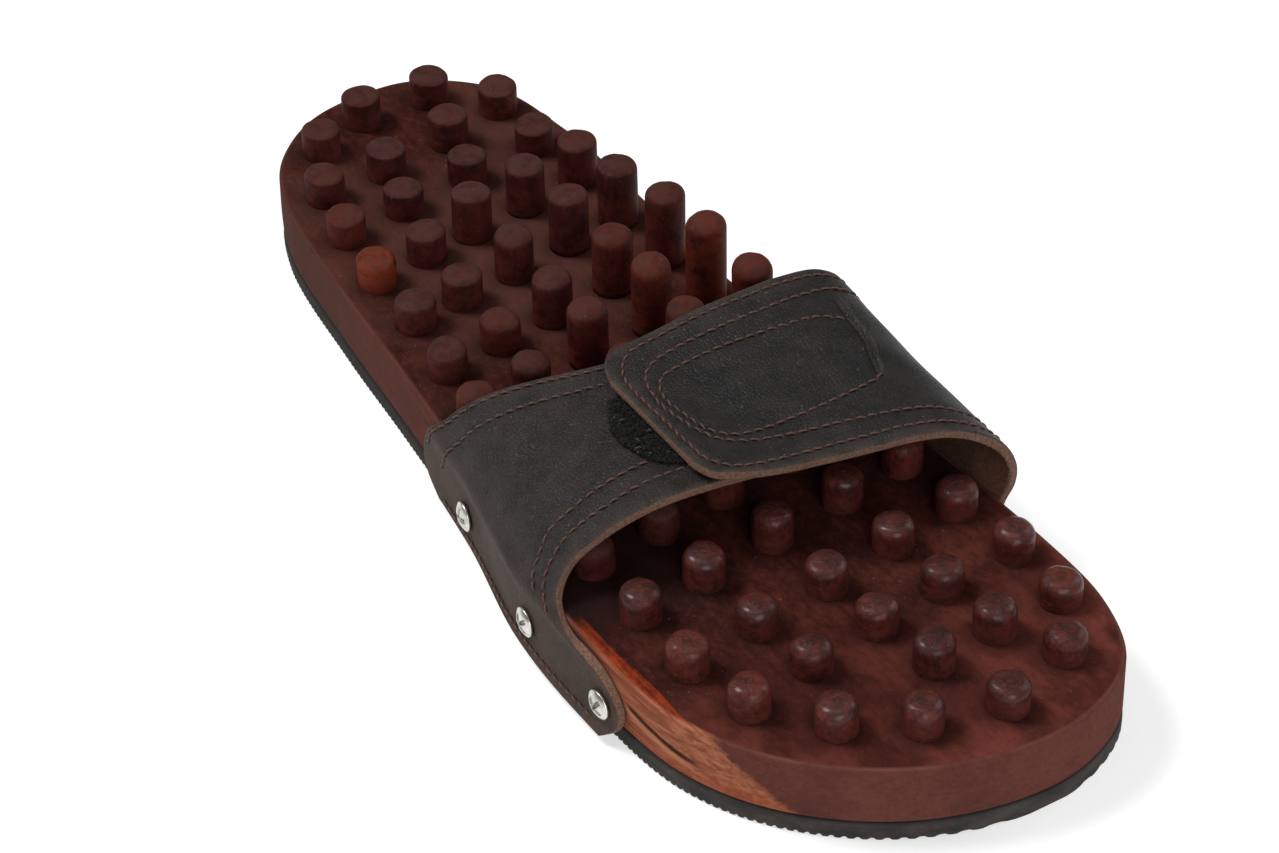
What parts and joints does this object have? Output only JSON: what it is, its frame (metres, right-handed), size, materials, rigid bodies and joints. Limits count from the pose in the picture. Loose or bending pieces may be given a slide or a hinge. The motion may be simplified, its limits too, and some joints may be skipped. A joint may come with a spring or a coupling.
{
  "type": "massage slipper",
  "caption": "Open-toe wooden massage slipper for the right foot: a pegged board on a rubber outsole, with leather straps closed by a hook-and-loop flap.",
  "frame": {"origin": "on the floor under the middle of the slipper's bounding box", "axes": "toe to -Y, heel to +Y, inner (big toe) side to +X, up to +Z"},
  "size_m": [0.112, 0.286, 0.0493],
  "materials": {
    "rubber": "matte ribbed rubber",
    "wood": "satin lacquered dark red wood",
    "leather": "pebbled black leather",
    "loop_fabric": "matte looped pile",
    "nickel": "bright nickel plate"
  },
  "bodies": {
    "root": {"footbed": "wood", "loop_patch": "loop_fabric", "outsole": "rubber", "peg_01_1": "wood", "peg_01_2": "wood", "peg_01_3": "wood", "peg_02_1": "wood", "peg_02_2": "wood", "peg_02_3": "wood", "peg_02_4": "wood", "peg_03_1": "wood", "peg_03_2": "wood", "peg_03_3": "wood", "peg_03_4": "wood", "peg_04_1": "wood", "peg_04_2": "wood", "peg_04_3": "wood", "peg_04_4": "wood", "peg_04_5": "wood", "peg_05_1": "wood", "peg_05_2": "wood", "peg_05_3": "wood", "peg_05_4": "wood", "peg_05_5": "wood", "peg_06_1": "wood", "peg_06_2": "wood", "peg_06_3": "wood", "peg_06_4": "wood", "peg_06_5": "wood", "peg_07_1": "wood", "peg_07_2": "wood", "peg_07_3": "wood", "peg_07_4": "wood", "peg_07_5": "wood", "peg_08_1": "wood", "peg_08_2": "wood", "peg_08_3": "wood", "peg_08_4": "wood", "peg_08_5": "wood", "peg_09_1": "wood", "peg_09_2": "wood", "peg_09_3": "wood", "peg_09_4": "wood", "peg_09_5": "wood", "peg_10_1": "wood", "peg_10_2": "wood", "peg_10_3": "wood", "peg_10_4": "wood", "peg_10_5": "wood", "screw_lateral_1": "nickel", "screw_lateral_2": "nickel", "screw_lateral_3": "nickel", "screw_medial_1": "nickel", "screw_medial_2": "nickel", "screw_medial_3": "nickel", "strap_lateral": "leather", "strap_medial": "leather"}
  },
  "joints": []
}
